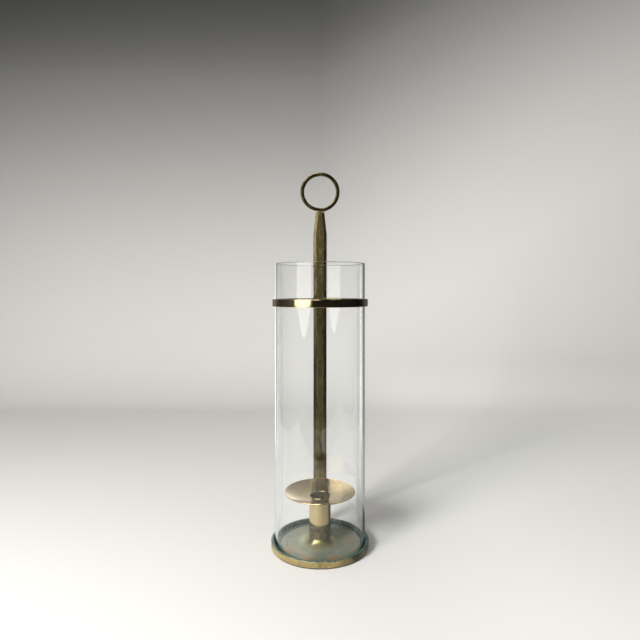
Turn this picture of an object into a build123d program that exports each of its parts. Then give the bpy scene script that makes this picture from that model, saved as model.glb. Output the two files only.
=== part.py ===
from build123d import *
import math
import os

# Storm lantern for one candle: a glass cylinder stands loose in a turned brass dish, round a
# brass candle tube with a drip pan. A brass collar round the glass is riveted to an upright
# bar behind it, and the bar carries a ring to hold or hang the lantern by.
#
# Frame: the origin is on the axis of the candle and the glass, on the table under the base.
# +Z is up, the front is -Y, and the bar stands behind the glass, on +Y. Millimetres.

os.makedirs("parts", exist_ok=True)

# Glass cylinder, open at both ends
glass_radius = 50.0          # outside
glass_wall = 2.0
glass_length = 311.0
glass_edge_round = 0.7       # fire-polished ends
glass_fit_inside = 0.8       # from the glass to the bead that centres it
glass_fit_rim = 1.4          # from the glass to the rim of the dish
glass_fit_collar = 0.8       # from the glass to the collar

# Base dish, turned from solid, and the felt under it
felt_thickness = 1.0
felt_inset = 1.0
floor_thickness = 2.6
rim_wall = 3.0
rim_depth = 4.4              # from the rim's top down to the floor
rim_round = 0.8
base_chamfer = 0.4
bead_width = 3.2
bead_height = 1.0
groove_from_bead = 6.2       # fine turned line on the floor
groove_width = 1.0
groove_depth = 0.4
boss_height = 7.4            # the floor flares up to the foot of the candle tube
boss_lip = 0.4
flare_radius = 21.0

# Candle tube, its plug, and the screw that holds it down
candle_radius = 11.0
candle_fit = 0.2
tube_wall = 0.8
tube_height = 43.4           # from its foot to the seat of the pan
neck_step = 0.3              # the tube's neck is this much thinner than the tube
neck_height = 1.3
braze_gap = 0.05             # film of braze between joined pieces
plug_height = 12.0
plug_step = 0.2              # the tube is bored this much wider for the plug
thread_gap = 0.05
screw_hole_gap = 0.2
tube_screw_radius = 2.0
tube_screw_grip = 7.0        # length of thread in the plug
tube_screw_tip_gap = 1.5
tube_screw_head_radius = 4.0
tube_screw_head_height = 2.2
washer_radius = 5.0
washer_thickness = 0.8
counterbore_gap = 0.6        # round the washer
head_recess = 0.6            # from the screw's head down to the felt
slot_width = 0.9
slot_depth = 0.7

# Drip pan, a shallow bowl of sheet brass
pan_radius = 39.3
pan_thickness = 1.0
pan_depth = 5.4
pan_edge_round = 0.4

# Collar, one band round the outside of the glass
collar_wall = 2.6
collar_height = 8.0
collar_mid_height = 270.9    # above the table
collar_chamfer = 0.6
seat_depth = 0.4             # flat cut in the collar for the bar

# Upright bar
bar_width = 16.4
bar_thickness = 5.0
bar_bevel_width = 3.4
bar_bevel_depth = 1.2
bar_notch_gap = 0.1          # each side, in the rim of the dish
neck_width = 10.2            # where the ring is brazed on
taper_length = 28.0
shoulder_round = 30.0

# Ring at the top
ring_radius = 24.0           # outside
ring_band = 4.5
ring_depth = 5.0
ring_round = 1.5
ring_mid_height = 404.5      # above the table

# Two rivets through the collar and two screws through the bar's foot
pair_spacing = 8.4
pair_radius = 1.25
pair_hole_gap = 0.05
rivet_head_radius = 2.3
rivet_head_height = 1.3
foot_head_radius = 2.4

# Places worked out from the sizes above
rim_inner = glass_radius + glass_fit_rim
base_radius = rim_inner + rim_wall
floor_z = felt_thickness + floor_thickness
rim_z = floor_z + rim_depth
bead_outer = glass_radius - glass_wall - glass_fit_inside
bead_inner = bead_outer - bead_width
groove_outer = bead_inner - groove_from_bead
groove_inner = groove_outer - groove_width
tube_bore = candle_radius + candle_fit
tube_outer = tube_bore + tube_wall
tube_neck = tube_outer - neck_step
plug_bore = tube_bore + plug_step
boss_radius = tube_outer + boss_lip
boss_z = floor_z + boss_height
flare_turn = math.acos(1 - boss_height / flare_radius)
flare_outer = boss_radius + flare_radius * math.sin(flare_turn)
pan_seat_z = boss_z + tube_height
washer_top_z = felt_thickness + head_recess + tube_screw_head_height + washer_thickness
head_top_z = washer_top_z - washer_thickness
screw_tip_z = boss_z + tube_screw_grip
collar_inner = glass_radius + glass_fit_collar
collar_outer = collar_inner + collar_wall
bar_front = collar_outer - seat_depth
bar_back = bar_front + bar_thickness
saddle_radius = ring_radius + braze_gap
bar_top_z = ring_mid_height - math.sqrt(saddle_radius**2 - (neck_width / 2) ** 2)
shoulder_z = bar_top_z - taper_length
foot_screw_z = (felt_thickness + rim_z) / 2
half_pair = pair_spacing / 2
rivet_tip = math.sqrt(collar_inner**2 - (half_pair - pair_radius) ** 2)
foot_tip = math.sqrt(rim_inner**2 - (half_pair - pair_radius) ** 2)
foot_hole_end = math.sqrt(rim_inner**2 - (half_pair + pair_radius + pair_hole_gap) ** 2)

# Planes that face the front, so a sketch on them is seen as from the front
bar_back_plane = Plane.XZ.offset(-bar_back)
rivet_points = [(-half_pair, collar_mid_height), (half_pair, collar_mid_height)]
foot_points = [(-half_pair, foot_screw_z), (half_pair, foot_screw_z)]


def flare_point(turn):
    # A point on the flare, from the floor (turn 0) up to the foot of the tube
    return (
        flare_outer - flare_radius * math.sin(turn),
        floor_z + flare_radius * (1 - math.cos(turn)),
    )


# The base dish, with its flared boss, bead and rim
with BuildPart() as base_dish:
    with BuildSketch(Plane.XZ):
        with BuildLine():
            Line((0, felt_thickness), (base_radius - base_chamfer, felt_thickness))
            Line(
                (base_radius - base_chamfer, felt_thickness),
                (base_radius, felt_thickness + base_chamfer),
            )
            Line((base_radius, felt_thickness + base_chamfer), (base_radius, rim_z))
            Line((base_radius, rim_z), (rim_inner, rim_z))
            Line((rim_inner, rim_z), (rim_inner, floor_z))
            Line((rim_inner, floor_z), (bead_outer, floor_z))
            ThreePointArc(
                (bead_outer, floor_z),
                ((bead_outer + bead_inner) / 2, floor_z + bead_height),
                (bead_inner, floor_z),
            )
            Line((bead_inner, floor_z), (groove_outer, floor_z))
            ThreePointArc(
                (groove_outer, floor_z),
                ((groove_outer + groove_inner) / 2, floor_z - groove_depth),
                (groove_inner, floor_z),
            )
            Line((groove_inner, floor_z), flare_point(0))
            ThreePointArc(flare_point(0), flare_point(flare_turn / 2), flare_point(flare_turn))
            Line(flare_point(flare_turn), (0, boss_z))
            Line((0, boss_z), (0, felt_thickness))
        make_face()
    revolve(axis=Axis.Z)
    rim_edges = base_dish.edges().filter_by(lambda edge: abs(edge.center().Z - rim_z) < 1e-6)
    fillet(rim_edges, rim_round)
    # hole for the tube's screw, with a counterbore from below
    with BuildSketch(Plane.XY.offset(felt_thickness)):
        Circle(washer_radius + counterbore_gap)
    extrude(amount=washer_top_z - felt_thickness, mode=Mode.SUBTRACT)
    with BuildSketch(Plane.XY.offset(felt_thickness)):
        Circle(tube_screw_radius + screw_hole_gap)
    extrude(amount=boss_z - felt_thickness, mode=Mode.SUBTRACT)
    # notch in the rim for the foot of the bar
    with BuildSketch(bar_back_plane):
        with Locations((0, (felt_thickness + rim_z) / 2)):
            Rectangle(bar_width + 2 * bar_notch_gap, rim_z - felt_thickness)
    extrude(amount=bar_thickness, mode=Mode.SUBTRACT)
    # holes for the two foot screws
    with BuildSketch(bar_back_plane):
        with Locations(*foot_points):
            Circle(pair_radius + pair_hole_gap)
    extrude(amount=bar_back - foot_hole_end, mode=Mode.SUBTRACT)
base_dish.part.label = "base_dish"
export_step(base_dish.part, "parts/base_dish.step")

# Felt pad glued under the base
with BuildPart() as felt_pad:
    with BuildSketch():
        Circle(base_radius - felt_inset)
    extrude(amount=felt_thickness)
felt_pad.part.label = "felt_pad"
export_step(felt_pad.part, "parts/felt_pad.step")

# Candle tube, turned down to a neck where the pan sits
with BuildPart() as candle_tube:
    with BuildSketch(Plane.XY.offset(boss_z)):
        Circle(tube_outer)
        Circle(tube_bore, mode=Mode.SUBTRACT)
    extrude(amount=tube_height)
    with BuildSketch(Plane.XY.offset(pan_seat_z)):
        Circle(tube_neck)
        Circle(tube_bore, mode=Mode.SUBTRACT)
    extrude(amount=neck_height)
    with BuildSketch(Plane.XY.offset(boss_z)):
        Circle(plug_bore)
    extrude(amount=plug_height, mode=Mode.SUBTRACT)
candle_tube.part.label = "candle_tube"
export_step(candle_tube.part, "parts/candle_tube.step")

# Plug brazed into the foot of the tube, against the step in its bore, tapped from below
with BuildPart() as tube_plug:
    with BuildSketch(Plane.XY.offset(boss_z)):
        Circle(plug_bore - braze_gap)
    extrude(amount=plug_height)
    with BuildSketch(Plane.XY.offset(boss_z)):
        Circle(tube_screw_radius + thread_gap)
    extrude(amount=tube_screw_grip + tube_screw_tip_gap, mode=Mode.SUBTRACT)
tube_plug.part.label = "tube_plug"
export_step(tube_plug.part, "parts/tube_plug.step")

# Screw that holds the tube on the dish, from below
with BuildPart() as tube_screw:
    with BuildSketch(Plane.XY.offset(head_top_z)):
        Circle(tube_screw_radius)
    extrude(amount=screw_tip_z - head_top_z)
    with BuildSketch(Plane.XY.offset(head_top_z - tube_screw_head_height)):
        Circle(tube_screw_head_radius)
    extrude(amount=tube_screw_head_height)
    with BuildSketch(Plane.XY.offset(head_top_z - tube_screw_head_height)):
        Rectangle(2 * tube_screw_head_radius, slot_width)
    extrude(amount=slot_depth, mode=Mode.SUBTRACT)
tube_screw.part.label = "tube_screw"
export_step(tube_screw.part, "parts/tube_screw.step")

# Washer under the screw's head
with BuildPart() as screw_washer:
    with BuildSketch(Plane.XY.offset(head_top_z)):
        Circle(washer_radius)
        Circle(tube_screw_radius + screw_hole_gap, mode=Mode.SUBTRACT)
    extrude(amount=washer_thickness)
screw_washer.part.label = "screw_washer"
export_step(screw_washer.part, "parts/screw_washer.step")

# Drip pan: both faces are parts of spheres about one centre above the lantern's axis
pan_hole = tube_neck + braze_gap
bowl_radius = (pan_radius**2 - pan_hole**2) / (2 * pan_depth)
bowl_centre_z = pan_seat_z + math.sqrt((bowl_radius + pan_thickness) ** 2 - pan_hole**2)


def bowl_point(radius, below):
    # A point on the bowl's upper face, or below it by part of the sheet
    sphere = bowl_radius + below
    return (radius, bowl_centre_z - math.sqrt(sphere**2 - radius**2))


with BuildPart() as drip_pan:
    with BuildSketch(Plane.XZ):
        with BuildLine():
            middle = (pan_hole + pan_radius) / 2
            ThreePointArc(bowl_point(pan_hole, 0), bowl_point(middle, 0), bowl_point(pan_radius, 0))
            Line(bowl_point(pan_radius, 0), bowl_point(pan_radius, pan_thickness))
            ThreePointArc(
                bowl_point(pan_radius, pan_thickness),
                bowl_point(middle, pan_thickness),
                bowl_point(pan_hole, pan_thickness),
            )
            Line(bowl_point(pan_hole, pan_thickness), bowl_point(pan_hole, 0))
        make_face()
    revolve(axis=Axis.Z)
    outer_edges = drip_pan.edges().filter_by(GeomType.CIRCLE).filter_by(
        lambda edge: abs(edge.radius - pan_radius) < 1e-6
    )
    fillet(outer_edges, pan_edge_round)
drip_pan.part.label = "drip_pan"
export_step(drip_pan.part, "parts/drip_pan.step")

# Glass cylinder, standing on the floor of the dish between the bead and the rim
with BuildPart() as glass_cylinder:
    with BuildSketch(Plane.XY.offset(floor_z)):
        Circle(glass_radius)
        Circle(glass_radius - glass_wall, mode=Mode.SUBTRACT)
    extrude(amount=glass_length)
    fillet(glass_cylinder.edges().filter_by(GeomType.CIRCLE), glass_edge_round)
glass_cylinder.part.label = "glass_cylinder"
export_step(glass_cylinder.part, "parts/glass_cylinder.step")

# Collar round the glass, with a flat seat for the bar
with BuildPart() as glass_collar:
    with BuildSketch(Plane.XY.offset(collar_mid_height - collar_height / 2)):
        Circle(collar_outer)
        Circle(collar_inner, mode=Mode.SUBTRACT)
    extrude(amount=collar_height)
    chamfer(glass_collar.edges().filter_by(GeomType.CIRCLE), collar_chamfer)
    with BuildSketch(bar_back_plane):
        with Locations((0, collar_mid_height)):
            Rectangle(2 * collar_outer, collar_height)
    extrude(amount=bar_thickness, mode=Mode.SUBTRACT)
    with BuildSketch(bar_back_plane):
        with Locations(*rivet_points):
            Circle(pair_radius + pair_hole_gap)
    extrude(amount=bar_thickness + collar_wall, mode=Mode.SUBTRACT)
glass_collar.part.label = "glass_collar"
export_step(glass_collar.part, "parts/glass_collar.step")

# Upright bar: bevelled along both front edges, tapered to the ring, with a saddle for it
with BuildPart() as back_bar:
    with BuildSketch(bar_back_plane) as outline:
        with BuildLine():
            Polyline(
                (-bar_width / 2, felt_thickness),
                (bar_width / 2, felt_thickness),
                (bar_width / 2, shoulder_z),
                (neck_width / 2, bar_top_z),
                (-neck_width / 2, bar_top_z),
                (-bar_width / 2, shoulder_z),
                close=True,
            )
        make_face()
        shoulders = outline.vertices().group_by(Axis.Y)[1]
        fillet(shoulders, shoulder_round)
    extrude(amount=bar_thickness)
    front_face = back_bar.faces().sort_by(Axis.Y)[0]
    long_edges = front_face.edges().filter_by(lambda edge: abs(edge.center().X) > 1)
    chamfer(long_edges, bar_bevel_width, bar_bevel_depth, reference=front_face)
    with BuildSketch(bar_back_plane):
        with Locations((0, ring_mid_height)):
            Circle(saddle_radius)
    extrude(amount=bar_thickness, mode=Mode.SUBTRACT)
    with BuildSketch(bar_back_plane):
        with Locations(*rivet_points, *foot_points):
            Circle(pair_radius + pair_hole_gap)
    extrude(amount=bar_thickness, mode=Mode.SUBTRACT)
    with BuildSketch(bar_back_plane):
        with Locations(*foot_points):
            Circle(foot_head_radius + pair_hole_gap)
    extrude(amount=foot_head_radius - pair_radius, taper=45, mode=Mode.SUBTRACT)
back_bar.part.label = "back_bar"
export_step(back_bar.part, "parts/back_bar.step")

# Ring brazed into the saddle on top of the bar
with BuildPart() as handle_ring:
    with BuildSketch(Plane.XZ.offset(-(bar_front + ring_depth))):
        with Locations((0, ring_mid_height)):
            Circle(ring_radius)
            Circle(ring_radius - ring_band, mode=Mode.SUBTRACT)
    extrude(amount=ring_depth)
    fillet(handle_ring.edges().filter_by(GeomType.CIRCLE), ring_round)
handle_ring.part.label = "handle_ring"
export_step(handle_ring.part, "parts/handle_ring.step")

# Two rivets, peened flush inside the collar, with round heads behind the bar
with BuildPart() as collar_rivets:
    with BuildSketch(bar_back_plane):
        with Locations(*rivet_points):
            Circle(pair_radius)
    extrude(amount=bar_back - rivet_tip)
    with BuildSketch(Plane.XZ.offset(-(bar_back + rivet_head_height))):
        with Locations(*rivet_points):
            Circle(rivet_head_radius)
    extrude(amount=rivet_head_height)
    head_rims = collar_rivets.faces().group_by(Axis.Y)[-1].edges()
    fillet(head_rims, 0.9 * rivet_head_height)
collar_rivets.part.label = "collar_rivets"
export_step(collar_rivets.part, "parts/collar_rivets.step")

# Two countersunk screws that hold the bar's foot in the notch of the dish
with BuildPart() as foot_screws:
    with BuildSketch(bar_back_plane):
        with Locations(*foot_points):
            Circle(pair_radius)
    extrude(amount=bar_back - foot_tip)
    with BuildSketch(bar_back_plane):
        with Locations(*foot_points):
            Circle(foot_head_radius)
    extrude(amount=foot_head_radius - pair_radius, taper=45)
    with BuildSketch(bar_back_plane):
        with Locations(*foot_points):
            Rectangle(2 * foot_head_radius, slot_width)
    extrude(amount=slot_depth, mode=Mode.SUBTRACT)
foot_screws.part.label = "foot_screws"
export_step(foot_screws.part, "parts/foot_screws.step")
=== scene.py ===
import bpy
import math
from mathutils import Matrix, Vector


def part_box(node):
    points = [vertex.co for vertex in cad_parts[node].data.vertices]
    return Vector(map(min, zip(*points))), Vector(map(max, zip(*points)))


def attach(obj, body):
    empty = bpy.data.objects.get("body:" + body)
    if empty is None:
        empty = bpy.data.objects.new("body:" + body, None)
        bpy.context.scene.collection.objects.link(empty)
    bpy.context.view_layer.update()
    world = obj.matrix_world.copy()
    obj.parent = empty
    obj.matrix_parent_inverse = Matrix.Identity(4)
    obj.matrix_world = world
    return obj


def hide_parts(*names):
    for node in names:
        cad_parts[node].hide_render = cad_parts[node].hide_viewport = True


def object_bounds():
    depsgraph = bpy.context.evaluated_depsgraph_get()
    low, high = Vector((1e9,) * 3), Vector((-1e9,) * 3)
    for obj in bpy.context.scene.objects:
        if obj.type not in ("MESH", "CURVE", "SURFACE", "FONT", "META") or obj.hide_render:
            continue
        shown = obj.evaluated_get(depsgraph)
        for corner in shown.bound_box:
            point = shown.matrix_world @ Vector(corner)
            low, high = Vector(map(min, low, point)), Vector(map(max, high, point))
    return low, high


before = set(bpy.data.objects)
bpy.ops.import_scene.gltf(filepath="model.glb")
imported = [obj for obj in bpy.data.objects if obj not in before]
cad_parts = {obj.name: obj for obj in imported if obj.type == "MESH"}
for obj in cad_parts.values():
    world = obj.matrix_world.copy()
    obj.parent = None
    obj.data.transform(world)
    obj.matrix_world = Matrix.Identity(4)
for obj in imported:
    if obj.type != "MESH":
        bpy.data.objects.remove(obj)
cadLow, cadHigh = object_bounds()
print("frame loaded:", len(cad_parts), "nodes")

# small helpers
mm = 0.001


def clearSelection():
    bpy.ops.object.select_all(action="DESELECT")


def pickOnly(piece):
    clearSelection()
    piece.select_set(True)
    bpy.context.view_layer.objects.active = piece


def nameNew(name):
    piece = bpy.context.object
    piece.name = name
    piece.data.name = name
    return piece


def startEditing(mode="VERT"):
    bpy.ops.object.mode_set(mode="EDIT")
    bpy.ops.mesh.select_mode(type=mode)
    bpy.ops.mesh.select_all(action="SELECT")


def stopEditing():
    bpy.ops.object.mode_set(mode="OBJECT")


def selectAll():
    bpy.ops.mesh.select_all(action="SELECT")


def closeSeam():
    # joins the points that lie on each other and turns every face outwards
    selectAll()
    bpy.ops.mesh.remove_doubles(threshold=0.001 * mm)
    bpy.ops.mesh.normals_make_consistent(inside=False)


def selectVertices(piece, test):
    # vertices are chosen by their place, then editing goes on
    bpy.ops.mesh.select_mode(type="VERT")
    bpy.ops.mesh.select_all(action="DESELECT")
    stopEditing()
    for vertex in piece.data.vertices:
        vertex.select = test(vertex.co)
    bpy.ops.object.mode_set(mode="EDIT")


def selectEdges(piece, test):
    # edges are chosen by the places of their two ends
    bpy.ops.mesh.select_mode(type="EDGE")
    bpy.ops.mesh.select_all(action="DESELECT")
    stopEditing()
    points = piece.data.vertices
    for edge in piece.data.edges:
        edge.select = test(points[edge.vertices[0]].co, points[edge.vertices[1]].co)
    bpy.ops.object.mode_set(mode="EDIT")


def applyModifier(piece, kind, **settings):
    pickOnly(piece)
    modifier = piece.modifiers.new(kind.lower(), kind)
    for name, value in settings.items():
        setattr(modifier, name, value)
    bpy.ops.object.modifier_apply(modifier=modifier.name)


def cutAway(piece, cutter):
    applyModifier(piece, "BOOLEAN", operation="DIFFERENCE", solver="EXACT", object=cutter)
    bpy.data.objects.remove(cutter)


def cutBlock(piece, place, size):
    # cuts away a square-sided block
    clearSelection()
    bpy.ops.mesh.primitive_cube_add(size=1, location=place)
    cutter = nameNew("blockCutter")
    cutter.scale = size
    cutAway(piece, cutter)


def softenEdges(piece, width, segments, leastTurn):
    # bevels the edges that turn by more than an angle in degrees
    limit = math.radians(leastTurn)
    applyModifier(piece, "BEVEL", width=width, segments=segments, limit_method="ANGLE", angle_limit=limit)


def roughen(piece, size, strength):
    # slow hand-made unevenness, from one fixed noise
    clouds = bpy.data.textures.new(piece.name + "Clouds", "CLOUDS")
    clouds.noise_scale = size
    clouds.noise_depth = 2
    applyModifier(
        piece, "DISPLACE", texture=clouds, texture_coords="LOCAL", strength=strength, mid_level=0.5
    )


def finishPiece(piece, body, material, replaced=(), smoothAngle=30):
    pickOnly(piece)
    bpy.ops.object.transform_apply(location=True, rotation=True, scale=True)
    bpy.ops.object.shade_smooth_by_angle(angle=math.radians(smoothAngle))
    applyModifier(piece, "WEIGHTED_NORMAL", keep_sharp=True)  # long walls keep their true shading
    piece.data.materials.clear()
    piece.data.materials.append(material)
    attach(piece, body)
    if replaced:
        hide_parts(*replaced)


def arc(centre, radius, startTurn, endTurn, count):
    # points of a round stretch in a profile; turns in degrees from the +r direction
    turns = [startTurn + (endTurn - startTurn) * i / count for i in range(count + 1)]
    return [
        (
            centre[0] + radius * math.cos(math.radians(turn)),
            centre[1] + radius * math.sin(math.radians(turn)),
        )
        for turn in turns
    ]


def turnOnLathe(name, profile, steps=256):
    # one point is drawn round the closed profile, then the outline is spun round the lantern's axis
    clearSelection()
    bpy.ops.mesh.primitive_plane_add(size=mm)
    piece = nameNew(name)
    startEditing()
    bpy.ops.mesh.merge(type="CENTER")
    bpy.ops.transform.translate(value=(profile[0][0], 0, profile[0][1]))
    for here, there in zip(profile, profile[1:] + profile[:1]):
        step = (there[0] - here[0], 0, there[1] - here[1])
        bpy.ops.mesh.extrude_vertices_move(TRANSFORM_OT_translate={"value": step})
    selectAll()
    bpy.ops.mesh.remove_doubles(threshold=0.001 * mm)
    bpy.ops.mesh.spin(steps=steps, angle=2 * math.pi, center=(0, 0, 0), axis=(0, 0, 1))
    closeSeam()
    stopEditing()
    return piece


# shader helpers
def feed(tree, value, socket):
    if isinstance(value, bpy.types.NodeSocket):
        tree.links.new(value, socket)
    else:
        socket.default_value = value


def addNode(tree, kind, inputs=None, **settings):
    node = tree.nodes.new(kind)
    for name, value in settings.items():
        setattr(node, name, value)
    for name, value in (inputs or {}).items():
        feed(tree, value, node.inputs[name])
    return node


def calculate(tree, operation, first, second=0.0):
    return addNode(tree, "ShaderNodeMath", {0: first, 1: second}, operation=operation).outputs[0]


def times(tree, first, second):
    return calculate(tree, "MULTIPLY", first, second)


def plus(tree, first, second):
    return calculate(tree, "ADD", first, second)


def minus(tree, first, second):
    return calculate(tree, "SUBTRACT", first, second)


def fade(tree, value, low, high, fromValue=0.0, toValue=1.0):
    # a smooth change from one value to another between two places
    node = addNode(
        tree,
        "ShaderNodeMapRange",
        {"Value": value, "From Min": low, "From Max": high, "To Min": fromValue, "To Max": toValue},
        interpolation_type="SMOOTHSTEP",
    )
    return node.outputs["Result"]


def mixColours(tree, share, first, second, blend="MIX"):
    node = addNode(tree, "ShaderNodeMix", data_type="RGBA", blend_type=blend)
    feed(tree, share, node.inputs[0])
    feed(tree, first, node.inputs[6])
    feed(tree, second, node.inputs[7])
    return node.outputs[2]


def mixValues(tree, share, first, second):
    node = addNode(tree, "ShaderNodeMix", data_type="FLOAT")
    feed(tree, share, node.inputs[0])
    feed(tree, first, node.inputs[2])
    feed(tree, second, node.inputs[3])
    return node.outputs[0]


def cover(tree, colour, mask, strength, over):
    # lays another colour over this one where the mask is
    return mixColours(tree, times(tree, mask, strength), colour, over)


def stretch(tree, vector, scale, centre=(0, 0, 0)):
    node = addNode(tree, "ShaderNodeMapping", {"Vector": vector, "Scale": scale, "Location": centre})
    return node.outputs[0]


def noise(tree, vector, scale, detail=4.0, roughness=0.6, distortion=0.0):
    node = addNode(
        tree,
        "ShaderNodeTexNoise",
        {
            "Vector": vector,
            "Scale": scale,
            "Detail": detail,
            "Roughness": roughness,
            "Distortion": distortion,
        },
    )
    return node.outputs["Fac"]


def bump(tree, height, distance):
    return addNode(tree, "ShaderNodeBump", {"Height": height, "Distance": distance}).outputs[0]


def startMaterial(name):
    material = bpy.data.materials.new(name)
    material.use_nodes = True
    tree = material.node_tree
    surface = tree.nodes["Principled BSDF"]
    place = addNode(tree, "ShaderNodeTexCoord").outputs["Object"]
    return material, tree, surface, place


socketKinds = {
    "NodeSocketVector": ("Vector", "Stretch"),
    "NodeSocketColor": ("Clean", "Dull", "Dark", "Colour"),
}


def startGroup(name, inputs, outputs):
    # a socket takes a plain value unless its name is listed as a vector or a colour
    group = bpy.data.node_groups.new(name, "ShaderNodeTree")
    for way, labels in (("INPUT", inputs), ("OUTPUT", outputs)):
        for label in labels:
            kinds = [kind for kind, names in socketKinds.items() if label in names]
            kind = kinds[0] if kinds else "NodeSocketFloat"
            group.interface.new_socket(name=label, in_out=way, socket_type=kind)
    given = group.nodes.new("NodeGroupInput").outputs
    result = group.nodes.new("NodeGroupOutput").inputs
    return group, given, result


def useGroup(tree, group, **inputs):
    node = tree.nodes.new("ShaderNodeGroup")
    node.node_tree = group
    for name, value in inputs.items():
        feed(tree, value, node.inputs[name])
    return node.outputs


# shared effects
def makeFromAxis():
    # how far a place is from the lantern's axis, how high it is, and its turn round the axis
    group, given, result = startGroup("fromAxis", ["Vector"], ["Radius", "Height", "Turn"])
    parts = addNode(group, "ShaderNodeSeparateXYZ", {0: given["Vector"]}).outputs
    flat = addNode(group, "ShaderNodeCombineXYZ", {0: parts[0], 1: parts[1]}).outputs[0]
    length = addNode(group, "ShaderNodeVectorMath", {0: flat}, operation="LENGTH").outputs["Value"]
    group.links.new(length, result["Radius"])
    group.links.new(parts[2], result["Height"])
    group.links.new(calculate(group, "ARCTAN2", parts[1], parts[0]), result["Turn"])
    return group


tarnishShape = {"fineTimes": 7.3, "cloudShare": 0.68, "dullEdge": 0.16, "darkEdge": 0.14}


def makeTarnish():
    # brass from clean to dull to dark, in drifting clouds with finer mottling inside them
    shape = tarnishShape
    inputs = ["Vector", "Scale", "Clean", "Dull", "Dark", "Dullness", "Darkness"]
    group, given, result = startGroup("tarnish", inputs, ["Colour", "Mask", "Fine"])
    clouds = noise(group, given["Vector"], given["Scale"], 5, 0.62, 0.4)
    fine = noise(group, given["Vector"], times(group, given["Scale"], shape["fineTimes"]), 3, 0.7)
    cloudShare = shape["cloudShare"]
    blended = plus(group, times(group, clouds, cloudShare), times(group, fine, 1 - cloudShare))
    dullAt = minus(group, 0.78, times(group, given["Dullness"], 0.56))
    dullMask = fade(group, blended, dullAt, plus(group, dullAt, shape["dullEdge"]))
    darkAt = minus(group, 0.80, times(group, given["Darkness"], 0.50))
    darkMask = fade(group, blended, darkAt, plus(group, darkAt, shape["darkEdge"]))
    dulled = mixColours(group, dullMask, given["Clean"], given["Dull"])
    darkened = mixColours(group, darkMask, dulled, given["Dark"])
    group.links.new(darkened, result["Colour"])
    group.links.new(dullMask, result["Mask"])
    group.links.new(fine, result["Fine"])
    return group


def makeTurning():
    # fine rings left by the lathe, which wander a little in strength round the piece
    group, given, result = startGroup("turning", ["Radius", "Height", "Turn", "Lines"], ["Mask"])
    outwards = times(group, given["Radius"], given["Lines"])
    upwards = times(group, given["Height"], given["Lines"])
    around = times(group, calculate(group, "SINE", given["Turn"]), 0.8)
    place = addNode(group, "ShaderNodeCombineXYZ", {0: outwards, 1: around, 2: upwards}).outputs[0]
    group.links.new(noise(group, place, 1.0, 2, 0.5), result["Mask"])
    return group


def makeBrushing():
    # long scratches and rubbing marks along one way
    inputs = ["Vector", "Stretch", "Sparse"]
    group, given, result = startGroup("brushing", inputs, ["Lines", "Scratches"])
    ends = {0: given["Vector"], 1: given["Stretch"]}
    scaled = addNode(group, "ShaderNodeVectorMath", ends, operation="MULTIPLY").outputs[0]
    coarse = noise(group, scaled, 0.37, 2, 0.5, 0.6)
    scratches = fade(group, coarse, given["Sparse"], plus(group, given["Sparse"], 0.08))
    group.links.new(noise(group, scaled, 1.0, 4, 0.6, 0.1), result["Lines"])
    group.links.new(scratches, result["Scratches"])
    return group


speckWander = 1.6 * mm


def makeSpecks():
    # small uneven pits and dirt spots, thick in some places and absent in others
    inputs = ["Vector", "Scale", "Size", "Spread"]
    group, given, result = startGroup("specks", inputs, ["Mask"])
    vector, scale, size, spread = (given[name] for name in inputs)
    wander = addNode(group, "ShaderNodeTexNoise", {"Vector": vector, "Scale": scale, "Detail": 3.0})
    ends = {0: wander.outputs["Color"], 1: (speckWander, speckWander, speckWander), 2: vector}
    pushed = addNode(group, "ShaderNodeVectorMath", ends, operation="MULTIPLY_ADD").outputs[0]
    cells = addNode(group, "ShaderNodeTexVoronoi", {"Vector": pushed, "Scale": scale}, feature="F1")
    spots = fade(group, cells.outputs["Distance"], size, times(group, size, 0.55))
    where = noise(group, vector, times(group, scale, 0.13), 2)
    thick = fade(group, where, spread, plus(group, spread, 0.1))
    group.links.new(times(group, spots, thick), result["Mask"])
    return group


wearSizes = {"reach": 0.6 * mm, "uneven": 300.0}


def makeEdgeWear():
    # where a hand rubs an edge: the rounded normal leaves the true one
    group, given, result = startGroup("edgeWear", ["Vector"], ["Mask"])
    rounded = addNode(group, "ShaderNodeBevel", {"Radius": wearSizes["reach"]}, samples=4).outputs[0]
    unrounded = addNode(group, "ShaderNodeNewGeometry").outputs["Normal"]
    match = addNode(group, "ShaderNodeVectorMath", {0: rounded, 1: unrounded}, operation="DOT_PRODUCT")
    edge = fade(group, match.outputs["Value"], 0.995, 0.90)
    broken = fade(group, noise(group, given["Vector"], wearSizes["uneven"], 3), 0.35, 0.6)
    group.links.new(times(group, edge, broken), result["Mask"])
    return group


def makeVerdigris():
    # copper salts: where the film lies, and where pale powder lies on it
    group, given, result = startGroup("verdigris", ["Vector", "Scale", "Amount"], ["Mask", "Powder"])
    clouds = noise(group, given["Vector"], given["Scale"], 6, 0.65, 0.5)
    filmAt = minus(group, 0.74, times(group, given["Amount"], 0.48))
    grains = noise(group, given["Vector"], times(group, given["Scale"], 3.1), 4, 0.7)
    group.links.new(fade(group, clouds, filmAt, plus(group, filmAt, 0.14)), result["Mask"])
    group.links.new(fade(group, grains, 0.44, 0.66), result["Powder"])
    return group


fromAxis = makeFromAxis()
tarnish = makeTarnish()
turning = makeTurning()
brushing = makeBrushing()
specks = makeSpecks()
edgeWear = makeEdgeWear()
verdigris = makeVerdigris()
print("shared effects made")

# finishes
brassColours = {
    "polished": (0.78, 0.62, 0.31, 1),
    "golden": (0.66, 0.50, 0.21, 1),
    "dull": (0.42, 0.34, 0.17, 1),
    "brown": (0.13, 0.09, 0.045, 1),
}


def tarnishFrom(tree, place, look):
    # the tarnish effect with a finish's own colours and amounts
    names = ("scale", "clean", "dull", "dark", "dullness", "darkness")
    return useGroup(tree, tarnish, Vector=place, **{name.capitalize(): look[name] for name in names})


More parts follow.
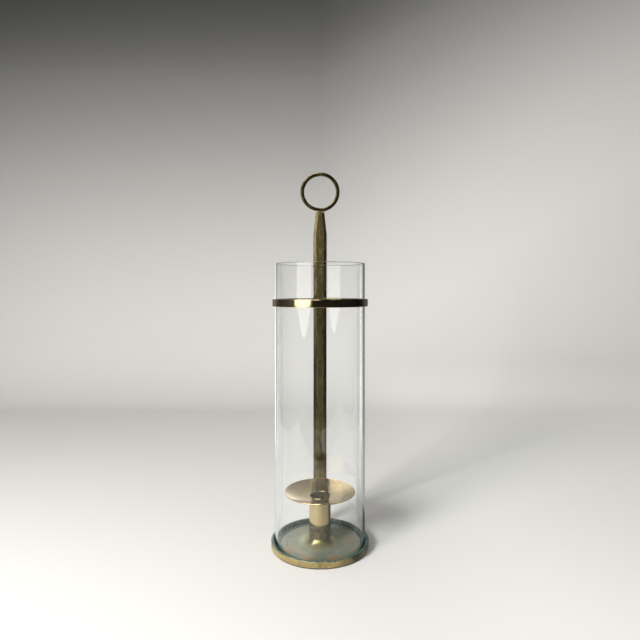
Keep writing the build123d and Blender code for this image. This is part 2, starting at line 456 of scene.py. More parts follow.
def makePolishedBrass(name, look):
    # a turned, polished surface with fine lathe lines, faint clouds and a few marks
    material, tree, surface, place = startMaterial(name)
    where = useGroup(tree, fromAxis, Vector=place)
    radius, height, turn = where["Radius"], where["Height"], where["Turn"]
    film = tarnishFrom(tree, place, look)
    lines = useGroup(tree, turning, Radius=radius, Height=height, Turn=turn, Lines=look["lines"])["Mask"]
    spots = useGroup(tree, specks, Vector=place, **look["pits"])["Mask"]
    worn = useGroup(tree, edgeWear, Vector=place)["Mask"]
    colour = cover(tree, film["Colour"], spots, look["pitDarkness"], brassColours["brown"])
    colour = cover(tree, colour, worn, look["wear"], look["clean"])
    rough = mixValues(tree, film["Mask"], look["roughClean"], look["roughDull"])
    rough = plus(tree, rough, times(tree, spots, look["pitRoughness"]))
    # green-black film low down and in the bore; or, on the collar, a darker colour out at its left and
    # right ends
    smear = noise(tree, stretch(tree, place, look["grimeStretch"]), look["grimeScale"], 5, 0.75, 0.3)
    if look["grime"] == "foot":
        wander = times(tree, minus(tree, smear, 0.5), look["grimeWander"])
        reach = fade(tree, plus(tree, height, wander), look["grimeFrom"], look["grimeTo"])
        inBore = fade(tree, radius, look["boreFrom"], look["boreTo"])
        reach = calculate(tree, "MAXIMUM", reach, inBore)
    else:
        across = addNode(tree, "ShaderNodeSeparateXYZ", {0: place}).outputs[0]
        reach = fade(tree, calculate(tree, "ABSOLUTE", across), look["grimeFrom"], look["grimeTo"])
    grime = times(tree, reach, fade(tree, smear, 0.28, 0.62, look["grimeLeast"], 1.0))
    grimeColour = mixColours(tree, fade(tree, smear, 0.36, 0.64), look["grimeLight"], look["grimeDeep"])
    feed(tree, mixColours(tree, grime, colour, grimeColour), surface.inputs["Base Color"])
    feed(tree, mixValues(tree, grime, rough, look["grimeRoughness"]), surface.inputs["Roughness"])
    feed(tree, mixValues(tree, grime, look["metal"], look["grimeMetal"]), surface.inputs["Metallic"])
    feed(tree, bump(tree, lines, look["lineDepth"]), surface.inputs["Normal"])
    return material


tubeLook = {
    "scale": 45.0,
    "clean": brassColours["polished"],
    "dull": (0.66, 0.52, 0.26, 1),
    "dark": (0.36, 0.28, 0.13, 1),
    "dullness": 0.5,
    "darkness": 0.05,
    "lines": 3000.0,
    "lineDepth": 0.004 * mm,
    "pits": {"Scale": 420.0, "Size": 0.16, "Spread": 0.56},
    "pitDarkness": 0.75,
    "pitRoughness": 0.3,
    "wear": 0.8,
    "roughClean": 0.07,
    "roughDull": 0.13,
    "metal": 1.0,
    "grime": "foot",
    "grimeFrom": 26.0 * mm,
    "grimeTo": 23.0 * mm,
    "grimeWander": 5.0 * mm,
    "boreFrom": 11.5 * mm,
    "boreTo": 11.25 * mm,
    "grimeStretch": (1.0, 1.0, 0.8),
    "grimeScale": 240.0,
    "grimeLeast": 0.25,
    "grimeLight": (0.44, 0.38, 0.18, 1),
    "grimeDeep": (0.085, 0.095, 0.052, 1),
    "grimeRoughness": 0.30,
    "grimeMetal": 0.75,
}
panLook = {
    **tubeLook,
    "scale": 38.0,
    "clean": (0.72, 0.585, 0.345, 1),
    "dull": (0.54, 0.42, 0.235, 1),
    "dark": (0.32, 0.23, 0.12, 1),
    "dullness": 0.52,
    "lineDepth": 0.007 * mm,
    "pits": {"Scale": 420.0, "Size": 0.16, "Spread": 0.50},
    "roughClean": 0.11,
    "roughDull": 0.21,
    "metal": 0.90,
    "grimeFrom": 54.0 * mm,
    "grimeTo": 53.0 * mm,
    "grimeWander": 0.0,
    "grimeScale": 420.0,
    "grimeLeast": 0.0,
}
collarLook = {
    **tubeLook,
    "scale": 70.0,
    "clean": (0.78, 0.66, 0.36, 1),
    "dull": (0.55, 0.45, 0.22, 1),
    "dark": (0.20, 0.16, 0.08, 1),
    "dullness": 0.45,
    "darkness": 0.15,
    "roughClean": 0.12,
    "roughDull": 0.22,
    # on the collar the mix only darkens its left and right ends
    "grime": "ends",
    "grimeFrom": 24.0 * mm,
    "grimeTo": 47.0 * mm,
    "grimeScale": 300.0,
    "grimeLeast": 0.45,
    "grimeLight": (0.27, 0.21, 0.11, 1),
    "grimeDeep": (0.085, 0.065, 0.038, 1),
    "grimeMetal": 1.0,
}
screwLook = {
    **tubeLook,
    "scale": 220.0,
    "clean": brassColours["golden"],
    "dull": brassColours["dull"],
    "dark": brassColours["brown"],
    "dullness": 0.6,
    "darkness": 0.4,
    "roughClean": 0.25,
    "roughDull": 0.42,
}

barLook = {
    "clean": (0.40, 0.32, 0.13, 1),
    "dull": (0.24, 0.19, 0.075, 1),
    "dark": (0.060, 0.044, 0.022, 1),
    "green": (0.15, 0.17, 0.09, 1),
    "worn": (0.52, 0.43, 0.22, 1),
    # colour of the painted shade on the slanted faces
    "bevel": (0.115, 0.10, 0.055, 1),
    "scale": 120.0,
    "dullness": 0.60,
    "darkness": 0.52,
    "stretch": (1.0, 1.0, 0.25),
    "brush": {"Stretch": (1500, 1500, 26), "Sparse": 0.53},
    "salts": {"Scale": 240.0, "Amount": 0.42},
    "pits": {"Scale": 480.0, "Size": 0.26, "Spread": 0.48},
    "rubs": {"Scale": 250.0, "Size": 0.32, "Spread": 0.52},
    "saltShare": 0.7,
    "pitShare": 0.7,
    "rubShare": 0.6,
    "scratchShare": 0.35,
    # how strongly painted shade darkens the slanted and side faces
    "sideShadeShare": 0.85,
    "wear": 0.6,
    "roughClean": 0.15,
    "roughDull": 0.27,
    "lineRoughness": 0.08,
    "metal": 0.88,
    "grain": 0.010 * mm,
}


def makeBarBrass(name, look):
    # drawn brass, darkened by age: mottled brown and green, rubbed bright along its edges, with painted
    # shade on its slanted and side faces
    material, tree, surface, place = startMaterial(name)
    drawn = stretch(tree, place, look["stretch"])
    rubbed = stretch(tree, place, (1, 1, 0.7), (0.02, 0.01, 0.03))
    film = tarnishFrom(tree, drawn, look)
    marks = useGroup(tree, brushing, Vector=place, **look["brush"])
    salts = useGroup(tree, verdigris, Vector=drawn, **look["salts"])["Mask"]
    pits = useGroup(tree, specks, Vector=place, **look["pits"])["Mask"]
    rubs = useGroup(tree, specks, Vector=rubbed, **look["rubs"])["Mask"]
    worn = useGroup(tree, edgeWear, Vector=place)["Mask"]
    colour = cover(tree, film["Colour"], salts, look["saltShare"], look["green"])
    colour = cover(tree, colour, pits, look["pitShare"], look["dark"])
    colour = cover(tree, colour, rubs, look["rubShare"], look["worn"])
    colour = cover(tree, colour, marks["Scratches"], look["scratchShare"], look["clean"])
    colour = cover(tree, colour, worn, look["wear"], look["worn"])
    # painted shade, mottled by the tarnish, darkens the slanted and side faces
    normal = addNode(tree, "ShaderNodeNewGeometry").outputs["Normal"]
    sideways = calculate(tree, "ABSOLUTE", addNode(tree, "ShaderNodeSeparateXYZ", {0: normal}).outputs[0])
    sideShade = fade(tree, sideways, 0.16, 0.30, 0.0, look["sideShadeShare"])
    darker = mixColours(tree, film["Mask"], look["bevel"], look["dark"])
    feed(tree, mixColours(tree, sideShade, colour, darker), surface.inputs["Base Color"])
    rough = mixValues(tree, film["Mask"], look["roughClean"], look["roughDull"])
    rough = plus(tree, rough, times(tree, marks["Lines"], look["lineRoughness"]))
    feed(tree, rough, surface.inputs["Roughness"])
    feed(tree, mixValues(tree, salts, look["metal"], 0.7 * look["metal"]), surface.inputs["Metallic"])
    height = plus(tree, marks["Lines"], times(tree, film["Fine"], 1.5))
    feed(tree, bump(tree, height, look["grain"]), surface.inputs["Normal"])
    return material


ringLook = {
    **barLook,
    "clean": (0.17, 0.135, 0.066, 1),
    "dull": (0.085, 0.068, 0.036, 1),
    "dark": (0.030, 0.024, 0.015, 1),
    "worn": (0.34, 0.28, 0.16, 1),
    "wear": 0.18,
    "sideShadeShare": 0.0,
    "metal": 0.97,
    "scale": 150.0,
    "stretch": (1.0, 1.0, 1.0),
    "brush": {"Stretch": (500, 500, 500), "Sparse": 0.53},
    "roughClean": 0.14,
    "roughDull": 0.26,
}
brazeLook = {
    **ringLook,
    "clean": (0.66, 0.57, 0.36, 1),
    "dull": (0.48, 0.40, 0.24, 1),
    "dark": (0.30, 0.24, 0.14, 1),
    "roughClean": 0.30,
    "roughDull": 0.42,
}

dishLook = {
    "wall": {
        "scale": 120.0,
        "clean": (0.74, 0.58, 0.27, 1),
        "dull": (0.50, 0.38, 0.17, 1),
        "dark": (0.13, 0.09, 0.045, 1),
        "dullness": 0.60,
        "darkness": 0.40,
    },
    "wallPits": {"Scale": 620.0, "Size": 0.26, "Spread": 0.47},
    # green-black film mixed with painted shade, for the right side of the outside wall
    "wallGreenAndShade": (0.085, 0.100, 0.065, 1),
    "floor": {
        "scale": 100.0,
        "clean": (0.35, 0.335, 0.235, 1),
        "dull": (0.19, 0.28, 0.21, 1),
        "dark": (0.13, 0.15, 0.11, 1),
        "dullness": 0.54,
        "darkness": 0.34,
    },
    "salts": {"Scale": 85.0, "Amount": 0.5},
    "copper": (0.45, 0.295, 0.175, 1),
    "copperSpots": [  # x, y and size in mm
        (-34, -19, 12),
        (32, 5, 13),
        (15, -38, 13),
        (-12, -41, 10),
        (38, -20, 9),
    ],
    "teal": (0.066, 0.118, 0.097, 1),
    "tealPale": (0.24, 0.34, 0.29, 1),
    "greenLines": [(37.3, 1.3), (43.6, 0.9)],  # radius and half width in mm
    "flare": (0.70, 0.62, 0.32, 1),
    "flareGreen": (0.42, 0.45, 0.25, 1),
    "roughness": {"wallClean": 0.26, "wallDull": 0.42, "floor": 0.50, "flare": 0.28},
    "metal": {"wall": 1.0, "floor": 0.45, "flare": 0.95},
    "lines": 1800.0,
    "grain": 0.03 * mm,
}


def makeDishWall(tree, place, height, foot):
    # golden outside wall with pits, darker along its foot, and a green-black film on its right side that
    # is partly painted shade
    look = dishLook
    film = tarnishFrom(tree, stretch(tree, place, (1.0, 1.0, 1.6)), look["wall"])
    pits = useGroup(tree, specks, Vector=place, **look["wallPits"])["Mask"]
    colour = cover(tree, film["Colour"], pits, 0.8, look["wall"]["dark"])
    # darker along the foot of the wall
    footDarkening = fade(tree, height, foot + 1.3 * mm, foot + 0.3 * mm)
    colour = cover(tree, colour, footDarkening, 0.75, look["wall"]["dark"])
    # painted shade mixed with a green-black film darkens the wall's right side, away from the light
    across = addNode(tree, "ShaderNodeSeparateXYZ", {0: place}).outputs[0]
    thick = fade(tree, film["Mask"], 0.0, 0.7, 0.82, 1.0)
    sideFilmAndShade = times(tree, fade(tree, across, 0.014, 0.040), thick)
    return mixColours(tree, sideFilmAndShade, colour, look["wallGreenAndShade"]), film["Mask"]


def makeDishFloor(tree, place, salts):
    # grey-green film with broken copper patches and pale powder
    look = dishLook
    film = tarnishFrom(tree, place, look["floor"])
    patches = 0.0
    for spotX, spotY, spotSize in look["copperSpots"]:
        ends = {0: place, 1: (spotX * mm, spotY * mm, 0)}
        offset = addNode(tree, "ShaderNodeVectorMath", ends, operation="DISTANCE").outputs["Value"]
        spot = fade(tree, offset, spotSize * mm, 0.35 * spotSize * mm)
        patches = calculate(tree, "MAXIMUM", patches, spot)
    broken = fade(tree, noise(tree, place, 170.0, 5, 0.65, 0.5), 0.30, 0.54)
    colour = cover(tree, film["Colour"], times(tree, patches, broken), 0.95, look["copper"])
    return cover(tree, colour, salts["Mask"], 0.35, look["tealPale"])


def makeDishBrass():
    # golden outside; inside, a grey-green film with copper patches, thick green on the rim
    look = dishLook
    material, tree, surface, place = startMaterial("dishBrass")
    where = useGroup(tree, fromAxis, Vector=place)
    radius, height, turn = where["Radius"], where["Height"], where["Turn"]
    low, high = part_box("base_dish")
    outer = high.x
    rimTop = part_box("glass_cylinder")[0].z + dishSizes["rimDepth"]
    salts = useGroup(tree, verdigris, Vector=place, **look["salts"])
    wallColour, wallMask = makeDishWall(tree, place, height, low.z)
    colour = makeDishFloor(tree, place, salts)

    # green streaks that run down the flare from the tube
    along = {0: times(tree, turn, 5.0), 1: times(tree, radius, 260.0), 2: 0.0}
    streaks = noise(tree, addNode(tree, "ShaderNodeCombineXYZ", along).outputs[0], 1.0, 5, 0.7, 1.2)
    flareMask = fade(tree, radius, 0.47 * outer, 0.25 * outer)
    flareColour = mixColours(tree, fade(tree, streaks, 0.40, 0.66), look["flare"], look["flareGreen"])
    colour = mixColours(tree, flareMask, colour, flareColour)

    # green collects in the channel, on the rim and in the turned lines
    green = mixColours(tree, salts["Powder"], look["teal"], look["tealPale"])
    colour = cover(tree, colour, fade(tree, radius, 0.79 * outer, 0.83 * outer), 0.9, green)
    rimHeight = fade(tree, height, rimTop - 6.0 * mm, rimTop - 3.0 * mm)
    colour = cover(tree, colour, fade(tree, radius, 0.80 * outer, 0.88 * outer), rimHeight, green)
    uneven = fade(tree, salts["Powder"], 0.2, 0.9, 0.08, 0.60)
    for lineAt, lineWide in look["greenLines"]:
        gap = calculate(tree, "ABSOLUTE", minus(tree, radius, lineAt * mm))
        colour = cover(tree, colour, fade(tree, gap, lineWide * mm, 0.2 * mm), uneven, look["teal"])

    outside = fade(tree, radius, outer - 0.75 * mm, outer - 0.25 * mm)
    outside = times(tree, outside, fade(tree, height, rimTop - 0.15 * mm, rimTop - 0.75 * mm))
    feed(tree, mixColours(tree, outside, colour, wallColour), surface.inputs["Base Color"])
    rough, metal = look["roughness"], look["metal"]
    insideRough = mixValues(tree, flareMask, rough["floor"], rough["flare"])
    wallRough = mixValues(tree, wallMask, rough["wallClean"], rough["wallDull"])
    feed(tree, mixValues(tree, outside, insideRough, wallRough), surface.inputs["Roughness"])
    insideMetal = mixValues(tree, flareMask, metal["floor"], metal["flare"])
    feed(tree, mixValues(tree, outside, insideMetal, metal["wall"]), surface.inputs["Metallic"])
    lines = useGroup(tree, turning, Radius=radius, Height=height, Turn=turn, Lines=look["lines"])["Mask"]
    relief = plus(tree, times(tree, lines, 0.5), times(tree, salts["Powder"], 0.6))
    feed(tree, bump(tree, relief, look["grain"]), surface.inputs["Normal"])
    return material


glassLook = {
    "lipTint": (0.55, 0.60, 0.58, 1),
    "lipRoughness": 0.12,
    "lipFrom": 1.5 * mm,
    "lipTo": 0.6 * mm,
    "ior": 1.5,
    "waves": (110, 110, 4),
    "waveDepth": 0.02 * mm,
    "lampTint": (0.90, 0.91, 0.905, 1),
    "depthTint": (0.62, 0.86, 0.78, 1),
    "depthDensity": 9.0,
}


def makeGlass():
    # clear drawn glass with faint upright waves; lamps shine through it, and its edges look green
    look = glassLook
    material, tree, surface, place = startMaterial("clearGlass")
    low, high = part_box("glass_cylinder")
    height = useGroup(tree, fromAxis, Vector=place)["Height"]
    topLip = fade(tree, height, high.z - look["lipFrom"], high.z - look["lipTo"])
    footLip = fade(tree, height, low.z + look["lipFrom"], low.z + look["lipTo"])
    lips = calculate(tree, "MAXIMUM", topLip, footLip)
    feed(tree, mixColours(tree, lips, (1, 1, 1, 1), look["lipTint"]), surface.inputs["Base Color"])
    feed(tree, mixValues(tree, lips, 0.0, look["lipRoughness"]), surface.inputs["Roughness"])
    surface.inputs["IOR"].default_value = look["ior"]
    surface.inputs["Metallic"].default_value = 0.0
    surface.inputs["Transmission Weight"].default_value = 1.0
    waves = noise(tree, stretch(tree, place, look["waves"]), 1.0, 1, 0.4)
    feed(tree, bump(tree, waves, look["waveDepth"]), surface.inputs["Normal"])
    clear = addNode(tree, "ShaderNodeBsdfTransparent", {"Color": look["lampTint"]})
    lampRay = addNode(tree, "ShaderNodeLightPath").outputs["Is Shadow Ray"]
    sides = {0: lampRay, 1: surface.outputs[0], 2: clear.outputs[0]}
    shown = addNode(tree, "ShaderNodeMixShader", sides)
    output = tree.nodes["Material Output"]
    tree.links.new(shown.outputs[0], output.inputs["Surface"])
    tint = {"Color": look["depthTint"], "Density": look["depthDensity"]}
    tree.links.new(addNode(tree, "ShaderNodeVolumeAbsorption", tint).outputs[0], output.inputs["Volume"])
    return material


feltLook = {
    "deep": (0.018, 0.022, 0.015, 1),
    "pale": (0.065, 0.070, 0.045, 1),
    "brown": (0.05, 0.038, 0.024, 1),
    "fibres": 1400.0,
    "patches": 90.0,
    "sheen": 0.3,
    "nap": 0.12 * mm,
}


def makeFelt():
    # dark green-brown felt with short matted fibres
    look = feltLook
    material, tree, surface, place = startMaterial("feltPad")
    matted = noise(tree, place, look["fibres"], 5, 0.75, 1.2)
    colour = mixColours(tree, matted, look["deep"], look["pale"])
    colour = cover(tree, colour, noise(tree, place, look["patches"], 3), 0.35, look["brown"])
    feed(tree, colour, surface.inputs["Base Color"])
    feed(tree, mixValues(tree, matted, 0.85, 1.0), surface.inputs["Roughness"])
    surface.inputs["Sheen Weight"].default_value = look["sheen"]
    feed(tree, bump(tree, matted, look["nap"]), surface.inputs["Normal"])
    return material


# camera
cameraView = {"lens": 29.95, "back": 0.596, "height": 0.286, "shift": -0.0484}


def makeCamera():
    data = bpy.data.cameras.new("camera")
    data.lens = cameraView["lens"]
    data.shift_y = cameraView["shift"]
    data.clip_start = 0.01
    data.clip_end = 20
    eye = bpy.data.objects.new("camera", data)
    eye.location = (0, -cameraView["back"], cameraView["height"])
    eye.rotation_euler = (math.pi / 2, 0, 0)
    bpy.context.scene.collection.objects.link(eye)
    bpy.context.scene.camera = eye


makeCamera()

# stage
# The eye sees a wide pale sweep. The gloss sees a small set instead, glowing with painted light and
# shadow: a sheet of paper on a table and up a wall close behind, a tall window of light, and a dark room
# all round.
sweepSizes = {"halfWidth": 2.4, "front": -2.4, "back": 0.95, "wallHeight": 2.4, "cove": 0.30, "sunk": 0.0}
setSizes = {
    "halfWidth": 0.55,
    "front": -0.39,
    "back": 0.30,
    "wallHeight": 0.95,
    "cove": 0.04,
    "sunk": 1.0 * mm,
}


def showOnlyIn(tree, surface, inGloss):
    # shown to mirrored rays alone, or to all the others
    mirrored = addNode(tree, "ShaderNodeLightPath").outputs["Glossy Depth"]
    mirrored = calculate(tree, "MINIMUM", mirrored, 1.0)
    clear = addNode(tree, "ShaderNodeBsdfTransparent")
    sides = (clear.outputs[0], surface) if inGloss else (surface, clear.outputs[0])
    shown = addNode(tree, "ShaderNodeMixShader", {0: mirrored, 1: sides[0], 2: sides[1]})
    tree.links.new(shown.outputs[0], tree.nodes["Material Output"].inputs["Surface"])


setShine = {
    "floorLeft": 0.84,
    "floorRight": 0.40,
    "shadow": 0.08,
    "left": 0.52,
    "right": 0.28,
    "spot": 3.20,
}
sweepShine = {
    "left": 0.86,
    "right": 1.06,
    "floorLift": 0.15,
    "veilLow": 0.19,
    "veilHigh": 0.04,
    "front": 0.70,
}


def shadeSet(tree, across, depth, height):
    # painted light, brightest on the wall just left of the lantern, and a painted shadow where the
    # lantern's shadow lies
    shine = setShine
    floorShade = fade(tree, across, -0.09, 0.10, shine["floorLeft"], shine["floorRight"])
    shadow = times(tree, fade(tree, across, 0.03, 0.065), fade(tree, depth, -0.03, 0.03))
    shadow = times(tree, shadow, fade(tree, depth, 0.11, 0.07))
    floorShade = mixValues(tree, shadow, floorShade, shine["shadow"])
    spot = times(tree, fade(tree, across, -0.20, -0.07), fade(tree, across, 0.01, -0.06))
    wallShade = fade(tree, across, -0.05, 0.08, shine["left"], shine["right"])
    wallShade = mixValues(tree, spot, wallShade, shine["spot"])
    return mixValues(tree, fade(tree, height, 0.0, 0.05), floorShade, wallShade), 1.0


def shadeSweep(tree, across, depth, height):
    # painted light: seen through the glass the paper is a little paler, as the room's own light in the
    # glass makes it
    shine = sweepShine
    # painted light: brighter to the right, and more so on the floor there
    shade = fade(tree, across, -0.6, 0.7, shine["left"], shine["right"])
    lift = fade(tree, across, 0.03, 0.25, 0.0, shine["floorLift"])
    shade = plus(tree, shade, times(tree, fade(tree, height, 0.10, 0.0), lift))
    through = addNode(tree, "ShaderNodeLightPath").outputs["Transmission Depth"]
    through = calculate(tree, "MINIMUM", through, 1.0)
    veil = times(tree, through, fade(tree, height, 0.04, 0.36, shine["veilLow"], shine["veilHigh"]))
    # painted light: far in front the paper glows
    front = fade(tree, depth, -0.6, -1.6, 0.0, shine["front"])  # the lamps hardly reach so far
    return shade, calculate(tree, "MAXIMUM", veil, front)


def makePaper(name, top, slant, shades, inGloss):
    # pale studio paper with painted shade that darkens it upwards on the wall; in the gloss it only glows
    material, tree, surface, place = startMaterial(name)
    across, depth, height = addNode(tree, "ShaderNodeSeparateXYZ", {0: place}).outputs
    slanted = minus(tree, height, times(tree, calculate(tree, "MAXIMUM", across, 0.0), slant))
    ramp = addNode(tree, "ShaderNodeValToRGB", {0: calculate(tree, "DIVIDE", slanted, top)})
    ramp.color_ramp.interpolation = "B_SPLINE"
    for index, (at, shade) in enumerate(shades):
        stop = ramp.color_ramp.elements[index] if index < 2 else ramp.color_ramp.elements.new(at)
        stop.position = at
        stop.color = (shade, shade * 0.993, shade * 0.972, 1)
    dimmed, glow = (shadeSet if inGloss else shadeSweep)(tree, across, depth, height)
    grey = addNode(tree, "ShaderNodeCombineColor", {0: dimmed, 1: dimmed, 2: dimmed}).outputs[0]
    colour = mixColours(tree, 1.0, ramp.outputs[0], grey, "MULTIPLY")
    if inGloss:
        material.cycles.emission_sampling = "NONE"
    feed(tree, (0, 0, 0, 1) if inGloss else colour, surface.inputs["Base Color"])
    feed(tree, colour, surface.inputs["Emission Color"])
    feed(tree, glow, surface.inputs["Emission Strength"])
    feed(tree, mixValues(tree, noise(tree, place, 900.0, 2), 0.75, 0.9), surface.inputs["Roughness"])
    surface.inputs["Specular IOR Level"].default_value = 0.1
    showOnlyIn(tree, surface.outputs[0], inGloss)
    return material


def makeSweep(name, sizes, paper):
    clearSelection()
    bpy.ops.mesh.primitive_plane_add(size=1)
    sweep = nameNew(name)
    startEditing()
    back = sizes["back"]
    bpy.ops.transform.resize(value=(2 * sizes["halfWidth"], back - sizes["front"], 1))
    bpy.ops.transform.translate(value=(0, (back + sizes["front"]) / 2, 0))
    selectEdges(sweep, lambda a, b: min(a.y, b.y) > back - mm)
    bpy.ops.mesh.extrude_region_move(TRANSFORM_OT_translate={"value": (0, 0, sizes["wallHeight"])})
    selectEdges(sweep, lambda a, b: min(a.y, b.y) > back - mm and max(a.z, b.z) < mm)
    bpy.ops.mesh.bevel(offset=sizes["cove"], segments=24, affect="EDGES")
    selectAll()
    bpy.ops.transform.translate(value=(0, 0, -sizes["sunk"]))
    bpy.ops.mesh.normals_make_consistent(inside=False)
    stopEditing()
    bpy.ops.object.shade_smooth()
    sweep.data.materials.append(paper)


def makeGlowing(card, name, colour, light):
    # a card of light that only mirrored rays find
    material, tree = startMaterial(name)[:2]
    glow = addNode(tree, "ShaderNodeEmission", {"Color": colour, "Strength": light})
    showOnlyIn(tree, glow.outputs[0], True)
    material.cycles.emission_sampling = "NONE"
    card.data.materials.append(material)


windowSizes = {
    "turn": 40.5,
    "away": 1.1,
    "width": 0.76,
    "top": 1.15,
    "shoulder": 0.228,
    "tip": 0.136,
    "drops": [(0.25, 0.74), (0.30, 0.74), (0.25, 0.62), (0.20, 0.12)],  # share of the fall, narrowing
    "light": 2.4,
}


def makeWindow():
    # a tall window of light to the front left, which narrows to a point at its foot
    sizes = windowSizes
    clearSelection()
    bpy.ops.mesh.primitive_plane_add(size=1)
    window = nameNew("window")
    startEditing()
    bpy.ops.transform.rotate(value=math.pi / 2, orient_axis="X", center_override=(0, 0, 0))
    tall = sizes["top"] - sizes["shoulder"]
    bpy.ops.transform.resize(value=(sizes["width"], 1, tall))
    bpy.ops.transform.translate(value=(0, 0, sizes["shoulder"] + tall / 2))
    selectEdges(window, lambda a, b: max(a.z, b.z) < sizes["shoulder"] + mm)
    for share, narrowing in sizes["drops"]:
        fall = (sizes["shoulder"] - sizes["tip"]) * share
        bpy.ops.mesh.extrude_region_move(TRANSFORM_OT_translate={"value": (0, 0, -fall)})
        bpy.ops.transform.resize(value=(narrowing, 1, 1))
    selectAll()
    bpy.ops.transform.translate(value=(0, -sizes["away"], 0))
    stopEditing()
    window.rotation_euler = (0, 0, -math.radians(sizes["turn"]))
    pickOnly(window)
    bpy.ops.object.transform_apply(location=True, rotation=True, scale=True)
    makeGlowing(window, "windowLight", (1, 0.985, 0.95, 1), sizes["light"])


topCardSizes = {"at": (-0.33, -0.23, 1.0), "size": 0.66, "round": 0.18, "light": 7.5}


def makeTopCard():
    # a small card of light overhead, for glints on the flare, the rims and the bead
    sizes = topCardSizes
    clearSelection()
    bpy.ops.mesh.primitive_plane_add(size=sizes["size"], location=sizes["at"])
    card = nameNew("topCard")
    startEditing()
    bpy.ops.mesh.bevel(offset=sizes["round"] * sizes["size"], segments=5, affect="VERTICES")
    stopEditing()
    makeGlowing(card, "topCardLight", (1, 0.97, 0.90, 1), sizes["light"])


lamps = {
    "keyLamp": {"at": (-0.78, -0.85, 0.62), "size": 0.36, "watts": 25.0},
    "fillLamp": {"at": (-0.2, -0.3, 1.7), "size": 1.6, "watts": 6.0},
}


def makeLamps():
    for name, lamp in lamps.items():
        data = bpy.data.lights.new(name, "AREA")
        data.size = lamp["size"]
        data.energy = lamp["watts"]
        data.color = (1.0, 0.985, 0.96)
        holder = bpy.data.objects.new(name, data)
        holder.location = lamp["at"]
        aim = (cadLow + cadHigh) / 2 - holder.location
        holder.rotation_euler = aim.to_track_quat("-Z", "Y").to_euler()
        holder.visible_glossy = False
        holder.visible_transmission = False
        bpy.context.scene.collection.objects.link(holder)


roomLight = {"fill": 0.26, "pale": 0.80, "overhead": 0.25, "dark": 0.012, "left": 0.08, "warmth": 0.97}


def makeWorld():
    # a pale room to the eye and for soft light; a dark one with a paler left side in the gloss
    world = bpy.data.worlds.new("room")
    bpy.context.scene.world = world
    world.use_nodes = True
    world.cycles.sampling_method = "NONE"
    tree = world.node_tree
    background = tree.nodes["Background"]
    direction = addNode(tree, "ShaderNodeTexCoord").outputs["Generated"]
    parts = addNode(tree, "ShaderNodeSeparateXYZ", {0: direction}).outputs
    path = addNode(tree, "ShaderNodeLightPath").outputs
    shade = fade(tree, parts[2], 0.05, 0.75, roomLight["pale"], roomLight["overhead"])
    left = fade(tree, parts[0], -0.45, -1.0, roomLight["dark"], roomLight["left"])
    value = mixValues(tree, path["Is Diffuse Ray"], shade, roomLight["fill"])
    value = mixValues(tree, calculate(tree, "MINIMUM", path["Glossy Depth"], 1.0), value, left)
    warm = {0: value, 1: value, 2: times(tree, value, roomLight["warmth"])}
    feed(tree, addNode(tree, "ShaderNodeCombineColor", warm).outputs[0], background.inputs["Color"])


# painted shade, how the paper darkens up the wall: share of its height, shade
sweepShades = [
    (0.0, 0.78),
    (0.12, 0.79),
    (0.35, 0.62),
    (0.55, 0.40),
    (0.74, 0.21),
    (0.86, 0.11),
    (1.0, 0.05),
]
# the same painted shade for the set that the gloss sees
setShades = [(0.0, 0.95), (0.24, 0.95), (0.40, 0.60), (0.55, 0.36), (0.80, 0.14), (1.0, 0.04)]
makeSweep("sweep", sweepSizes, makePaper("sweepPaper", 1.2, 0.6, sweepShades, False))
makeSweep("smallSet", setSizes, makePaper("setPaper", 0.8, 0.0, setShades, True))
makeWindow()
makeTopCard()
makeLamps()
makeWorld()
bpy.context.scene.view_settings.view_transform = "Standard"
print("camera, stage and lights made")

# base dish
dishSizes = {
    "rimWall": 3.0 * mm,
    "rimDepth": 4.4 * mm,
    "rimRound": 0.9 * mm,
    "footChamfer": 0.4 * mm,
    "beadHeight": 1.0 * mm,
    "beadOuter": 47.2 * mm,
    "beadInner": 44.0 * mm,
    "lineOuter": 37.8 * mm,
    "lineInner": 36.8 * mm,
    "lineDepth": 0.15 * mm,
    "flareRadius": 21.0 * mm,
    "bossLip": 0.4 * mm,
    "screwHole": 2.2 * mm,
    "counterbore": 5.6 * mm,
    "notchGap": 0.1 * mm,
    "notchDepth": 10 * mm,
    "softEdge": 0.12 * mm,
}


